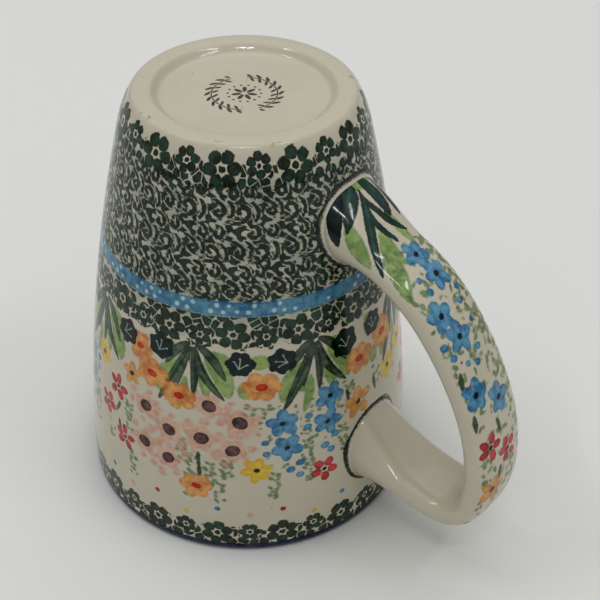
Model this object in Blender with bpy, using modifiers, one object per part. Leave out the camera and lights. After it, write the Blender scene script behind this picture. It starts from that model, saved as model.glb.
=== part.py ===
"""Tall tapered stoneware mug with a strap handle, standing on its rim.

The frame is in metres with +Z up. The mug is upside down: its rim lies on z = 0 and its foot ring is on top.
The handle points along +X, and the origin is the middle of the whole mug's footprint on z = 0.
"""
import math

import bpy
import numpy as np

MM = 0.001

# The cup's outside
MUG_HEIGHT = 117.5 * MM           # rim plane to foot plane
RIM_RADIUS = 45.0 * MM
FOOT_RADIUS = 27.0 * MM           # outer edge of the flat foot ring
FOOT_ROUND_WIDTH = 2.3 * MM       # how far the rounding above the wall brings the foot in
FOOT_ROUND_HEIGHT = 10.0 * MM     # where that rounding starts, below the foot plane
WALL_CURVE = 1.88                 # 1 would be a straight cone, more is steeper near the foot
FOOT_RING_WIDTH = 3.6 * MM        # ring between the outer edge and the recess
RECESS_DEPTH = 2.0 * MM
RECESS_SLOPE = 1.6 * MM           # how far in the recess's side runs on its way down

# The cup's inside
WALL_THICKNESS = 4.5 * MM
FLOOR_THICKNESS = 6.5 * MM
FLOOR_CORNER = 9.0 * MM           # rounding between the inner wall and the floor
RIM_ROUND = 1.6 * MM              # rounding of the lip's two edges, with a flat between them

# The strap handle
FOOT_END_DROP = 24.5 * MM         # middle of the end near the foot, below the foot plane
RIM_END_RISE = 25.5 * MM          # middle of the end near the rim, above the rim plane
GRIP_REACH = 36.6 * MM            # how far the strap's middle line stands out from the line between its ends
STRAP_WIDTH = 19.6 * MM
STRAP_THICKNESS = 7.8 * MM
FOOT_END_WIDTH = 22.0 * MM        # the ends swell where they meet the wall
FOOT_END_HEIGHT = 21.0 * MM
RIM_END_WIDTH = 20.0 * MM
RIM_END_HEIGHT = 22.0 * MM
FLARE_SHARE = 0.16                # part of the strap's run, at each end, over which it swells
SECTION_POWER = 2.8               # 2 would be an ellipse, more is closer to a rectangle

# Middle line of the strap from the foot end to the rim end: the height between the rim end (0) and the
# foot end (1), and the share of GRIP_REACH that it stands out
STRAP_ROUTE = (
    (1.00, 0.00),
    (0.91, 0.36),
    (0.76, 0.69),
    (0.39, 1.00),
    (0.00, 0.91),
    (-0.06, 0.48),
    (0.00, 0.00),
)

# The slip joints between the strap's ends and the wall
SLIP_THICKNESS = 1.1 * MM
SLIP_MARGIN = 1.2 * MM            # how far the slip shows round the strap's end
JOINT_GAP = 0.3 * MM              # clearance between touching solids

# How finely the shapes are divided
TURN_STEPS = 64
WALL_STEPS = 10
ROUND_STEPS = 3
STRAP_STATIONS = 40
SECTION_POINTS = 24
END_OVERLAP = 6.0 * MM            # the strap is made this much longer at each end, then cut to the wall
MERGE_DISTANCE = 0.05 * MM
SLOPE_STEP = 0.5 * MM             # how far apart the wall is looked at to find its slope

WALL_FOOT_RADIUS = FOOT_RADIUS + FOOT_ROUND_WIDTH
HANDLE_CLEARANCE = JOINT_GAP + SLIP_THICKNESS + JOINT_GAP


def clear_scene():
    for old in list(bpy.data.objects):
        bpy.data.objects.remove(old, do_unlink=True)


def wall_line(height):
    """Radius of the outer wall's drawn-in line, as if the rounding under the foot were not there."""
    share = np.clip(np.asarray(height, dtype=float) / MUG_HEIGHT, 0.0, 1.0)
    return RIM_RADIUS - (RIM_RADIUS - WALL_FOOT_RADIUS) * share ** WALL_CURVE


def wall_radius(height):
    """Radius of the cup's outer wall, which follows the wall line and rounds in just under the foot."""
    start = MUG_HEIGHT - FOOT_ROUND_HEIGHT
    into_round = np.clip((np.asarray(height, dtype=float) - start) / FOOT_ROUND_HEIGHT, 0.0, 1.0)
    return wall_line(height) - FOOT_ROUND_WIDTH * (1.0 - np.sqrt(1.0 - into_round ** 2))


def wall_direction(height):
    """Unit direction (outwards, up) along the outer wall."""
    slope = (wall_radius(height + SLOPE_STEP) - wall_radius(height - SLOPE_STEP)) / (2.0 * SLOPE_STEP)
    length = np.sqrt(1.0 + slope ** 2)
    return np.column_stack([slope / length, 1.0 / length])


def arc(centre, radius, start, end, steps):
    """Points (radius, height) along an arc, with its angles in degrees."""
    angles = np.radians(np.linspace(start, end, steps + 1))
    return [(centre[0] + radius * math.cos(a), centre[1] + radius * math.sin(a)) for a in angles]


def foot_profile():
    """From the axis out along the recess, up its side and over the foot ring."""
    recess_height = MUG_HEIGHT - RECESS_DEPTH
    ring_inner = FOOT_RADIUS - FOOT_RING_WIDTH
    points = [(0.0, recess_height)]
    for step in range(ROUND_STEPS + 1):
        share = step / ROUND_STEPS
        rise = 0.5 - 0.5 * math.cos(math.pi * share)
        points.append((ring_inner - RECESS_SLOPE * (1.0 - share), recess_height + RECESS_DEPTH * rise))
    return points


def outer_profile():
    """Down the outer wall from the foot ring's edge, closer together in the rounding."""
    turned = np.radians(np.linspace(90.0, 0.0, ROUND_STEPS * 2 + 1))
    in_round = MUG_HEIGHT - FOOT_ROUND_HEIGHT * (1.0 - np.sin(turned))
    down_wall = np.linspace(MUG_HEIGHT - FOOT_ROUND_HEIGHT, RIM_ROUND, WALL_STEPS + 1)[1:]
    heights = np.concatenate([in_round, down_wall])
    return list(zip(wall_radius(heights), heights))


def lip_profile():
    """Round the outer edge of the rim, across its flat and round the inner edge."""
    outer = float(wall_radius(RIM_ROUND))
    inner = outer - WALL_THICKNESS
    points = arc((outer - RIM_ROUND, RIM_ROUND), RIM_ROUND, 0.0, -90.0, ROUND_STEPS)[1:]
    points += arc((inner + RIM_ROUND, RIM_ROUND), RIM_ROUND, -90.0, -180.0, ROUND_STEPS)
    return points


def inner_profile():
    """Up the inner wall, round the floor's corner and in to the axis."""
    floor_height = MUG_HEIGHT - RECESS_DEPTH - FLOOR_THICKNESS
    corner_height = floor_height - FLOOR_CORNER
    heights = np.linspace(RIM_ROUND, corner_height, WALL_STEPS + 1)[1:]
    points = list(zip(wall_line(heights) - WALL_THICKNESS, heights))
    for angle in np.radians(np.linspace(0.0, 90.0, ROUND_STEPS * 2 + 1))[1:]:
        height = corner_height + FLOOR_CORNER * math.sin(angle)
        inner_wall = float(wall_line(height)) - WALL_THICKNESS
        points.append((inner_wall - FLOOR_CORNER * (1.0 - math.cos(angle)), height))
    points.append((0.0, floor_height))
    return points


def make_material(name, colour, roughness):
    material = bpy.data.materials.new(name)
    material.use_nodes = True
    shader = material.node_tree.nodes["Principled BSDF"]
    shader.inputs["Base Color"].default_value = (*colour, 1.0)
    shader.inputs["Roughness"].default_value = roughness
    shader.inputs["Metallic"].default_value = 0.0
    material.diffuse_color = (*colour, 1.0)
    return material


def place(mesh, name, collection, axis_x):
    new_object = bpy.data.objects.new(name, mesh)
    new_object.location = (axis_x, 0.0, 0.0)
    collection.objects.link(new_object)
    return new_object


def turned(name, profile, closed, collection, axis_x):
    """A body of revolution about the cup's axis, from a profile of (radius, height) points."""
    vertices = [(radius, 0.0, height) for radius, height in profile]
    edges = [(i, i + 1) for i in range(len(vertices) - 1)]
    if closed:
        edges.append((len(vertices) - 1, 0))
    mesh = bpy.data.meshes.new(name)
    mesh.from_pydata(vertices, edges, [])
    new_object = place(mesh, name, collection, axis_x)
    screw = new_object.modifiers.new("turn", "SCREW")
    screw.axis = "Z"
    screw.steps = TURN_STEPS
    screw.render_steps = TURN_STEPS
    screw.use_merge_vertices = True
    screw.merge_threshold = MERGE_DISTANCE
    screw.use_smooth_shade = True
    return new_object


def smooth_line(points, samples):
    """Natural cubic spline through points that are one unit of the parameter apart.

    Returns the places and the unit directions at evenly spaced parameters.
    """
    points = np.asarray(points, dtype=float)
    last = len(points) - 1
    system = np.eye(last + 1)
    right = np.zeros_like(points)
    for i in range(1, last):
        system[i, i - 1:i + 2] = (1.0, 4.0, 1.0)
        right[i] = 6.0 * (points[i - 1] - 2.0 * points[i] + points[i + 1])
    bend = np.linalg.solve(system, right)
    parameter = np.linspace(0.0, last, samples)
    piece = np.minimum(parameter.astype(int), last - 1)
    b = (parameter - piece)[:, None]
    a = 1.0 - b
    low, high = points[piece], points[piece + 1]
    low_bend, high_bend = bend[piece], bend[piece + 1]
    place_at = a * low + b * high + ((a ** 3 - a) * low_bend + (b ** 3 - b) * high_bend) / 6.0
    slope = high - low + ((1.0 - 3.0 * a ** 2) * low_bend + (3.0 * b ** 2 - 1.0) * high_bend) / 6.0
    return place_at, slope / np.linalg.norm(slope, axis=1)[:, None]


def strap_line(samples):
    """The strap's middle line as (distance from the axis, height), on the wall at both ends."""
    foot_end = np.array([0.0, MUG_HEIGHT - FOOT_END_DROP])
    rim_end = np.array([0.0, RIM_END_RISE])
    foot_end[0] = wall_radius(foot_end[1])
    rim_end[0] = wall_radius(rim_end[1])
    route = []
    for rise, reach in STRAP_ROUTE:
        route.append(rim_end + rise * (foot_end - rim_end) + np.array([reach * GRIP_REACH, 0.0]))
    return smooth_line(route, samples)


def swell(share, plain, at_foot, at_rim):
    """A size that is plain along the strap and grows smoothly to its end values near the wall."""
    near_foot = np.clip(1.0 - share / FLARE_SHARE, 0.0, 1.0) ** 2
    near_rim = np.clip(1.0 - (1.0 - share) / FLARE_SHARE, 0.0, 1.0) ** 2
    return plain + (at_foot - plain) * near_foot + (at_rim - plain) * near_rim


def turn_to_wall(across, line):
    """Sections square to the strap, turned to lie along the wall as they come up to it."""
    share = np.linspace(0.0, 1.0, STRAP_STATIONS)
    share = np.concatenate([share[:1], share, share[-1:]])
    turned_over = swell(share, 0.0, 1.0, 1.0)[:, None]
    along_wall = wall_direction(line[:, 1]) * np.sign(across[:, 1])[:, None]
    blended = across * (1.0 - turned_over) + along_wall * turned_over
    return blended / np.linalg.norm(blended, axis=1)[:, None]


def strap_rings(margin):
    """Sections across the strap, each a superellipse, with an extra one inside the wall at each end."""
    line, direction = strap_line(STRAP_STATIONS)
    share = np.linspace(0.0, 1.0, STRAP_STATIONS)
    half_width = swell(share, STRAP_WIDTH, FOOT_END_WIDTH, RIM_END_WIDTH) / 2.0 + margin
    half_height = swell(share, STRAP_THICKNESS, FOOT_END_HEIGHT, RIM_END_HEIGHT) / 2.0 + margin
    line = np.vstack([line[0] - direction[0] * END_OVERLAP, line, line[-1] + direction[-1] * END_OVERLAP])
    direction = np.vstack([direction[0], direction, direction[-1]])
    half_width = np.concatenate([half_width[:1], half_width, half_width[-1:]])
    half_height = np.concatenate([half_height[:1], half_height, half_height[-1:]])
    across = np.column_stack([-direction[:, 1], direction[:, 0]])
    across = turn_to_wall(across, line)
    turn = np.linspace(0.0, 2.0 * math.pi, SECTION_POINTS, endpoint=False)
    side = np.sign(np.cos(turn)) * np.abs(np.cos(turn)) ** (2.0 / SECTION_POWER)
    up = np.sign(np.sin(turn)) * np.abs(np.sin(turn)) ** (2.0 / SECTION_POWER)
    out = line[:, None, :] + across[:, None, :] * (half_height[:, None] * up)[:, :, None]
    return np.dstack([out[:, :, 0], half_width[:, None] * side, out[:, :, 1]])


def lofted(name, rings, collection, axis_x):
    """A closed solid through a row of sections with the same number of points, capped at both ends."""
    count, around = rings.shape[:2]
    faces = []
    for ring in range(count - 1):
        for i in range(around):
            j = (i + 1) % around
            faces.append((ring * around + i, ring * around + j, (ring + 1) * around + j, (ring + 1) * around + i))
    faces.append(tuple(reversed(range(around))))
    faces.append(tuple(range((count - 1) * around, count * around)))
    mesh = bpy.data.meshes.new(name)
    mesh.from_pydata(rings.reshape(-1, 3).tolist(), [], faces)
    mesh.shade_smooth()
    return place(mesh, name, collection, axis_x)


def cut(target, cutter, operation):
    boolean = target.modifiers.new(operation.lower(), "BOOLEAN")
    boolean.operation = operation
    boolean.solver = "EXACT"
    boolean.object = cutter


def wall_offset_profile(offset, low, high):
    heights = np.linspace(high, low, WALL_STEPS * 2 + 1)
    return [(float(wall_radius(height)) + offset, height) for height in heights]


def as_cutter(guide):
    guide.hide_render = True
    guide.display_type = "WIRE"
    return guide


def make_cup(collection, axis_x, material):
    profile = foot_profile() + outer_profile() + lip_profile() + inner_profile()
    cup = turned("cup_body", profile, False, collection, axis_x)
    cup.data.materials.append(material)


def make_handle(parts, cutters, axis_x, material):
    """The strap, cut back from the wall by the room that the slip joint takes."""
    handle = lofted("handle", strap_rings(0.0), parts, axis_x)
    sides = wall_offset_profile(HANDLE_CLEARANCE, 0.0, MUG_HEIGHT)
    profile = [(0.0, MUG_HEIGHT)] + sides + [(0.0, 0.0)]
    cutter = as_cutter(turned("handle_wall_cut", profile, False, cutters, axis_x))
    cut(handle, cutter, "DIFFERENCE")
    handle.data.materials.append(material)


def make_slip_joint(name, end, parts, cutters, axis_x, material):
    """A thin pad of slip, a little larger than the strap's end and curved to the wall."""
    rings = strap_rings(SLIP_MARGIN)
    half = len(rings) // 2
    rings = rings[:half] if end == "foot" else rings[half:]
    pad = lofted(name, rings, parts, axis_x)
    outer = wall_offset_profile(JOINT_GAP + SLIP_THICKNESS, 0.0, MUG_HEIGHT)
    inner = wall_offset_profile(JOINT_GAP, 0.0, MUG_HEIGHT)
    shell = as_cutter(turned(name + "_shell", outer + inner[::-1], True, cutters, axis_x))
    cut(pad, shell, "INTERSECT")
    pad.data.materials.append(material)


def main():
    clear_scene()
    parts = bpy.data.collections.new("stoneware_mug")
    cutters = bpy.data.collections.new("cutters")
    bpy.context.scene.collection.children.link(parts)
    bpy.context.scene.collection.children.link(cutters)

    handle_reach = float(strap_rings(0.0)[:, :, 0].max())
    axis_x = (RIM_RADIUS - handle_reach) / 2.0

    make_cup(parts, axis_x, make_material("cream_glaze", (0.62, 0.58, 0.48), 0.15))
    make_handle(parts, cutters, axis_x, make_material("handle_glaze", (0.58, 0.55, 0.46), 0.15))
    slip = make_material("slip_glaze", (0.5, 0.47, 0.4), 0.2)
    make_slip_joint("foot_end_slip_joint", "foot", parts, cutters, axis_x, slip)
    make_slip_joint("rim_end_slip_joint", "rim", parts, cutters, axis_x, slip.copy())


main()
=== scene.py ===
import math

import bpy
import numpy as np
from mathutils import Matrix, Vector


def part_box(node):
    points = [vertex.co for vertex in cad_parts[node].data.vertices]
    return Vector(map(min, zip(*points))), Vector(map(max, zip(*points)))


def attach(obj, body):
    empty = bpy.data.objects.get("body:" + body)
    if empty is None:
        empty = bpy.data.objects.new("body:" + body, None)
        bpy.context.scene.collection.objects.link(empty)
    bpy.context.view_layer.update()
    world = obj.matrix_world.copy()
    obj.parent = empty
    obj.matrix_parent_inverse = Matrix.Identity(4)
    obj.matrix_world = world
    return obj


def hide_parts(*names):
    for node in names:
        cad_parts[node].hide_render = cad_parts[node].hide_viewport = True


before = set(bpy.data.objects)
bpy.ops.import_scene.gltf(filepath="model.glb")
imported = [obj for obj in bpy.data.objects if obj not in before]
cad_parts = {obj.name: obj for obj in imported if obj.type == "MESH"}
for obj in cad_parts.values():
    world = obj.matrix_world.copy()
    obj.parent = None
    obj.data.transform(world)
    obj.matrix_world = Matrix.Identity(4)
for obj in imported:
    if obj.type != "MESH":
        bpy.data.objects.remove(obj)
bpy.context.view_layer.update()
mm = 0.001

# the cup stands on its rim with its axis left of the origin, and the strap points along +X
cupLow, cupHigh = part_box("cup_body")
axisX = (cupLow[0] + cupHigh[0]) / 2
mugHeight = cupHigh[2]
rimRadius = (cupHigh[1] - cupLow[1]) / 2

cup = {
    "footRadius": 27.0 * mm,      # outer edge of the foot ring
    "footRoundWidth": 2.3 * mm,   # rounding between the wall and the ring
    "footRoundHeight": 10.0 * mm,
    "wallCurve": 1.88,            # 1 is a straight cone
    "ringWidth": 3.6 * mm,
    "recessDepth": 2.0 * mm,
    "recessSlope": 2.8 * mm,
    "wall": 4.5 * mm,
    "floor": 6.5 * mm,
    "floorCorner": 9.0 * mm,
    "lipRound": 1.9 * mm,
    "pole": 0.6 * mm,             # smallest ring of faces, in the middle of the foot and of the floor
    "columns": 456,               # faces round the painted wall, and a third as many elsewhere
    # highest and lowest height of a stretch and its step, in mm: scrolls, waist, garland and rim
    "wallRows": ((107.0, 80.0, 0.43), (80.0, 67.2, 1.3), (67.0, 11.0, 0.58), (11.0, 2.4, 1.3)),
}

strap = {
    "footEndDrop": 24.5 * mm,     # middle of the end near the foot, below the foot plane
    "rimEndRise": 25.5 * mm,      # middle of the end near the rim
    "reach": 36.58 * mm,
    "width": 19.6 * mm,
    "thickness": 7.8 * mm,
    "footEnd": (22.0 * mm, 21.0 * mm),   # width and height where it meets the wall
    "rimEnd": (20.0 * mm, 22.0 * mm),
    "flare": 0.16,
    "squareness": 2.8,
    "endSquareness": 2.1,         # rounder where it meets the wall
    # height between the rim end (0) and the foot end (1), and the share of the reach
    "route": ((1.0, 0.0), (0.91, 0.36), (0.76, 0.69), (0.39, 1.0), (0.0, 0.91), (-0.06, 0.48),
              (0.0, 0.0)),
    "sunk": 2.2 * mm,             # how far the strap runs on into the wall
    "stations": 300,
    "around": 132,
}


def wallLine(height):
    # rim radius less a power of the height, which draws the wall in towards the foot
    footLine = cup["footRadius"] + cup["footRoundWidth"]
    share = np.clip(np.asarray(height, dtype=float) / mugHeight, 0.0, 1.0)
    return rimRadius - (rimRadius - footLine) * share ** cup["wallCurve"]


def wallRadius(height):
    # the wall line less a quarter ellipse over the last part below the foot
    start = mugHeight - cup["footRoundHeight"]
    into = np.clip((np.asarray(height, dtype=float) - start) / cup["footRoundHeight"], 0.0, 1.0)
    return wallLine(height) - cup["footRoundWidth"] * (1.0 - np.sqrt(1.0 - into ** 2))


def cupProfile():
    # (radius, height) from the recess's middle to the ring, down the wall round the lip, and up the inside
    ringInner = cup["footRadius"] - cup["ringWidth"]
    recess = mugHeight - cup["recessDepth"]
    middle = np.linspace(cup["pole"], ringInner - cup["recessSlope"], 7)[:-1]
    bed = np.column_stack([middle, np.full(len(middle), recess)])
    share = np.linspace(0.0, 1.0, 9)
    side = np.column_stack([
        ringInner - cup["recessSlope"] * (1.0 - share),
        recess + cup["recessDepth"] * (0.5 - 0.5 * np.cos(np.pi * share)),
    ])
    foot = np.vstack([bed, side])
    turned = np.radians(np.linspace(90.0, 0.0, 16))
    rounding = mugHeight - cup["footRoundHeight"] * (1.0 - np.sin(turned))
    wallHeights = [np.arange(high, low, -step) * mm for high, low, step in cup["wallRows"]]
    wallHeights = np.concatenate([rounding] + wallHeights)
    ring = np.array([[ringInner + 1.0 * mm, mugHeight], [ringInner + 2.2 * mm, mugHeight]])
    lip = cup["lipRound"]
    outerEdge = float(wallRadius(lip)) - lip
    innerEdge = float(wallRadius(lip)) - cup["wall"] + lip
    down = np.radians(np.linspace(0.0, -90.0, 6))
    outerLip = np.column_stack([outerEdge + lip * np.cos(down), lip + lip * np.sin(down)])
    outer = np.vstack([ring, np.column_stack([wallRadius(wallHeights), wallHeights]), outerLip])
    up = np.radians(np.linspace(-90.0, -180.0, 6))
    innerLip = np.column_stack([innerEdge + lip * np.cos(up), lip + lip * np.sin(up)])
    floorHeight = recess - cup["floor"]
    corner = floorHeight - cup["floorCorner"]
    inside = np.linspace(lip, corner, 12)[1:]
    inner = np.column_stack([wallLine(inside) - cup["wall"], inside])
    bend = np.radians(np.linspace(0.0, 90.0, 8))[1:]
    bendHeight = corner + cup["floorCorner"] * np.sin(bend)
    bendRadius = wallLine(bendHeight) - cup["wall"] - cup["floorCorner"] * (1.0 - np.cos(bend))
    cornerRound = np.column_stack([bendRadius, bendHeight])
    inward = np.linspace(bendRadius[-1], cup["pole"], 5)[1:]
    floor = np.column_stack([inward, np.full(len(inward), floorHeight)])
    return foot, outer, np.vstack([innerLip, inner, cornerRound, floor])


def runAlong(line):
    # the length of a line from its start to each of its points
    return np.concatenate([[0.0], np.cumsum(np.linalg.norm(np.diff(line, axis=0), axis=1))])


def smoothLine(points, samples):
    # natural cubic spline through points one unit apart: places and unit directions
    points = np.asarray(points, dtype=float)
    last = len(points) - 1
    system = np.eye(last + 1)
    right = np.zeros_like(points)
    for i in range(1, last):
        system[i, i - 1:i + 2] = (1.0, 4.0, 1.0)
        right[i] = 6.0 * (points[i - 1] - 2.0 * points[i] + points[i + 1])
    bend = np.linalg.solve(system, right)
    t = np.linspace(0.0, last, samples)
    piece = np.minimum(t.astype(int), last - 1)
    b = (t - piece)[:, None]
    a = 1.0 - b
    low, high, lowBend, highBend = points[piece], points[piece + 1], bend[piece], bend[piece + 1]
    place = a * low + b * high + ((a ** 3 - a) * lowBend + (b ** 3 - b) * highBend) / 6.0
    slope = high - low + ((1.0 - 3.0 * a ** 2) * lowBend + (3.0 * b ** 2 - 1.0) * highBend) / 6.0
    return place, slope / np.linalg.norm(slope, axis=1)[:, None]


def swell(share, plain, atFoot, atRim):
    # plain along the strap, growing with the square of the nearness to each end
    nearFoot = np.clip(1.0 - share / strap["flare"], 0.0, 1.0) ** 2
    nearRim = np.clip(1.0 - (1.0 - share) / strap["flare"], 0.0, 1.0) ** 2
    return plain + (atFoot - plain) * nearFoot + (atRim - plain) * nearRim


def strapGrid():
    # superellipse sections carried along the route; also the length run so far at each of them
    footEnd = np.array([0.0, mugHeight - strap["footEndDrop"]])
    rimEnd = np.array([0.0, strap["rimEndRise"]])
    footEnd[0], rimEnd[0] = wallRadius(footEnd[1]), wallRadius(rimEnd[1])
    route = [rimEnd + rise * (footEnd - rimEnd) + np.array([out * strap["reach"], 0.0])
             for rise, out in strap["route"]]
    line, along = smoothLine(route, strap["stations"])
    share = np.linspace(0.0, 1.0, strap["stations"])
    line = np.vstack([line[0] - along[0] * strap["sunk"], line, line[-1] + along[-1] * strap["sunk"]])
    along = np.vstack([along[0], along, along[-1]])
    share = np.concatenate([share[:1], share, share[-1:]])
    across = np.column_stack([-along[:, 1], along[:, 0]])
    step = 0.5 * mm
    lean = (wallRadius(line[:, 1] + step) - wallRadius(line[:, 1] - step)) / (2.0 * step)
    upWall = np.column_stack([lean, np.ones_like(lean)]) / np.sqrt(1.0 + lean ** 2)[:, None]
    turned = swell(share, 0.0, 1.0, 1.0)[:, None]
    across = across * (1.0 - turned) + upWall * np.sign(across[:, 1])[:, None] * turned
    across /= np.linalg.norm(across, axis=1)[:, None]
    halfWidth = swell(share, strap["width"], strap["footEnd"][0], strap["rimEnd"][0]) / 2.0
    halfHeight = swell(share, strap["thickness"], strap["footEnd"][1], strap["rimEnd"][1]) / 2.0
    turn = np.linspace(0.0, 2.0 * np.pi, strap["around"], endpoint=False)
    endPower = strap["endSquareness"]
    power = 2.0 / swell(share, strap["squareness"], endPower, endPower)[:, None]
    side = np.sign(np.cos(turn)) * np.abs(np.cos(turn)) ** power
    up = np.sign(np.sin(turn)) * np.abs(np.sin(turn)) ** power
    out = line[:, None, :] + across[:, None, :] * (halfHeight[:, None] * up)[:, :, None]
    places = np.dstack([out[:, :, 0] + axisX, halfWidth[:, None] * side, out[:, :, 1]])
    return places, runAlong(line)


def gridPiece(name, places):
    # a grid of rows and columns: the columns join up, and each end is closed with a fan to its middle
    rows, columns = places.shape[:2]
    index = np.arange(rows * columns).reshape(rows, columns)
    following = np.roll(index, -1, axis=1)
    quads = np.stack([index[:-1], following[:-1], following[1:], index[1:]], axis=-1).reshape(-1, 4)
    points = np.vstack([places.reshape(-1, 3), places[0].mean(axis=0), places[-1].mean(axis=0)])
    first, last = rows * columns, rows * columns + 1
    top = np.stack([following[0], index[0], np.full(columns, first)], axis=-1)
    bottom = np.stack([index[-1], following[-1], np.full(columns, last)], axis=-1)
    return newPiece(name, points, quads.tolist() + top.tolist() + bottom.tolist())


def newPiece(name, points, faces):
    mesh = bpy.data.meshes.new(name)
    mesh.from_pydata(points.tolist(), [], faces)
    mesh.shade_smooth()
    piece = bpy.data.objects.new(name, mesh)
    bpy.context.scene.collection.objects.link(piece)
    return piece


# every paint is a depth in millimetres inside its strokes, kept for each point
paintNames = ("wash", "leaf", "deepLeaf", "teal", "orange", "amber", "yellow", "pink", "plum",
              "blue", "red", "crimson", "ink", "sprig", "spear", "veil", "scroll", "outline")
noPaint = -4.0   # mm, well outside every stroke


def newSheet(u, v, scale, turn):
    # u runs across in degrees or mm, v along in mm; scale is mm for one u; turn is a whole turn, or 0
    return {"u": u, "v": v, "scale": scale, "turn": turn,
            "paints": {name: np.full((len(v), len(u)), noPaint) for name in paintNames}}


def near(sheet, u, v, reach):
    # the rows within reach, and each point's offset from (u, v) in mm
    rows = np.nonzero(np.abs(sheet["v"] - v) < reach)[0]
    if len(rows) == 0:
        return None
    rows = slice(rows[0], rows[-1] + 1)
    across = sheet["u"] - u
    if sheet["turn"]:
        across = (across + sheet["turn"] / 2) % sheet["turn"] - sheet["turn"] / 2
    return rows, across[None, :] * sheet["scale"][rows, None], (sheet["v"][rows] - v)[:, None]


def dab(sheet, paint, u, v, long, short, tilt=0.0, shift=(0.0, 0.0)):
    # an ellipse: one less the length of the scaled offset, times the short radius
    found = near(sheet, u, v + shift[1], max(long, short) + 2.0)
    if found is None:
        return
    rows, x, y = found
    x = x - shift[0]
    c, s = math.cos(math.radians(tilt)), math.sin(math.radians(tilt))
    depth = (1.0 - np.hypot((x * c + y * s) / long, (y * c - x * s) / short)) * min(long, short)
    target = sheet["paints"][paint][rows]
    np.maximum(target, depth, out=target)


def strokeDepth(x, y, points, widths, least=noPaint):
    # the nearest point on each piece of the line, less the half width there
    best = np.full(np.broadcast(x, y).shape, least)
    for (ax, ay), (bx, by), aw, bw in zip(points[:-1], points[1:], widths[:-1], widths[1:]):
        length = max((bx - ax) ** 2 + (by - ay) ** 2, 1e-9)
        t = np.clip(((x - ax) * (bx - ax) + (y - ay) * (by - ay)) / length, 0.0, 1.0)
        depth = aw + (bw - aw) * t - np.hypot(x - ax - t * (bx - ax), y - ay - t * (by - ay))
        np.maximum(best, depth, out=best)
    return best


def curved(points, samples):
    return [tuple(p) for p in smoothLine(points, samples)[0]] if len(points) > 2 else list(points)


def stroke(sheet, paint, u, v, points, width, blunt=0.25):
    # a brush stroke through offsets in mm, widest in its middle and narrow at both ends
    line = curved(points, 9)
    share = np.linspace(0.0, 1.0, len(line))
    widths = width * (blunt + (1.0 - blunt) * np.sin(np.pi * share) ** 0.7)
    reach = max(math.hypot(*p) for p in line) + width + 1.5
    found = near(sheet, u, v, reach)
    if found is None:
        return
    rows, x, y = found
    target = sheet["paints"][paint][rows]
    np.maximum(target, strokeDepth(x, y, line, widths), out=target)


hand = np.random.default_rng(11)   # the painter's unevenness


def uneven(amount):
    return 1.0 + amount * (2.0 * hand.random() - 1.0)


def flower(sheet, paint, u, v, size, petals, out, long, short, turn, squash=1.0):
    # petals as dabs in a ring, each pointing away from the middle
    for k in range(petals):
        angle = turn + 360.0 * k / petals + 8.0 * (uneven(1.0) - 1.0)
        reach = size * out * uneven(0.07)
        shift = (reach * math.cos(math.radians(angle)), reach * math.sin(math.radians(angle)) * squash)
        dab(sheet, paint, u, v, size * long * uneven(0.1), size * short * uneven(0.1), angle, shift)


def orangeFlower(sheet, u, v, size, tall=1.0):
    dab(sheet, "orange", u, v, size * 0.75, size * 0.62 * tall)
    flower(sheet, "orange", u, v, size, 6, 0.58, 0.42, 0.38, hand.random() * 60, tall)
    dab(sheet, "crimson", u, v, size * 0.30, size * 0.21, 10.0 * (uneven(1.0) - 1.0))


def amberFlower(sheet, u, v, size):
    flower(sheet, "amber", u, v, size, 5, 0.58, 0.44, 0.33, 18.0 + 30 * hand.random())
    dab(sheet, "ink", u, v, 0.95, 0.7, 30.0)


def yellowFlower(sheet, u, v, size):
    flower(sheet, "yellow", u, v, size, 6, 0.56, 0.44, 0.3, 60 * hand.random())
    dab(sheet, "yellow", u, v, size * 0.45, size * 0.4)
    dab(sheet, "ink", u, v, 0.85, 0.75)


def pinkFlower(sheet, u, v, size):
    flower(sheet, "pink", u, v, size, 5, 0.5, 0.52, 0.44, 60 * hand.random())
    dab(sheet, "plum", u, v, size * 0.52, size * 0.46, 40 * (uneven(1.0) - 1.0))


def blueFlower(sheet, u, v, size):
    flower(sheet, "blue", u, v, size, 5, 0.56, 0.46, 0.36, 72 * hand.random())
    dab(sheet, "ink", u, v, 0.85, 0.7, 30.0)


def redFlower(sheet, u, v, size):
    flower(sheet, "red", u, v, size, 5, 0.6, 0.38, 0.28, 72 * hand.random())
    dab(sheet, "ink", u, v, 0.75, 0.65, 30.0)


tealPlaces = []   # where the dark flowers are, for their stamens


def tealFlower(sheet, u, v, size):
    tealPlaces.append((u, v, 1.0))
    dab(sheet, "teal", u, v, size * 0.86, size * 0.84)
    flower(sheet, "teal", u, v, size, 6, 0.66, 0.36, 0.33, 60 * hand.random())


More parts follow.
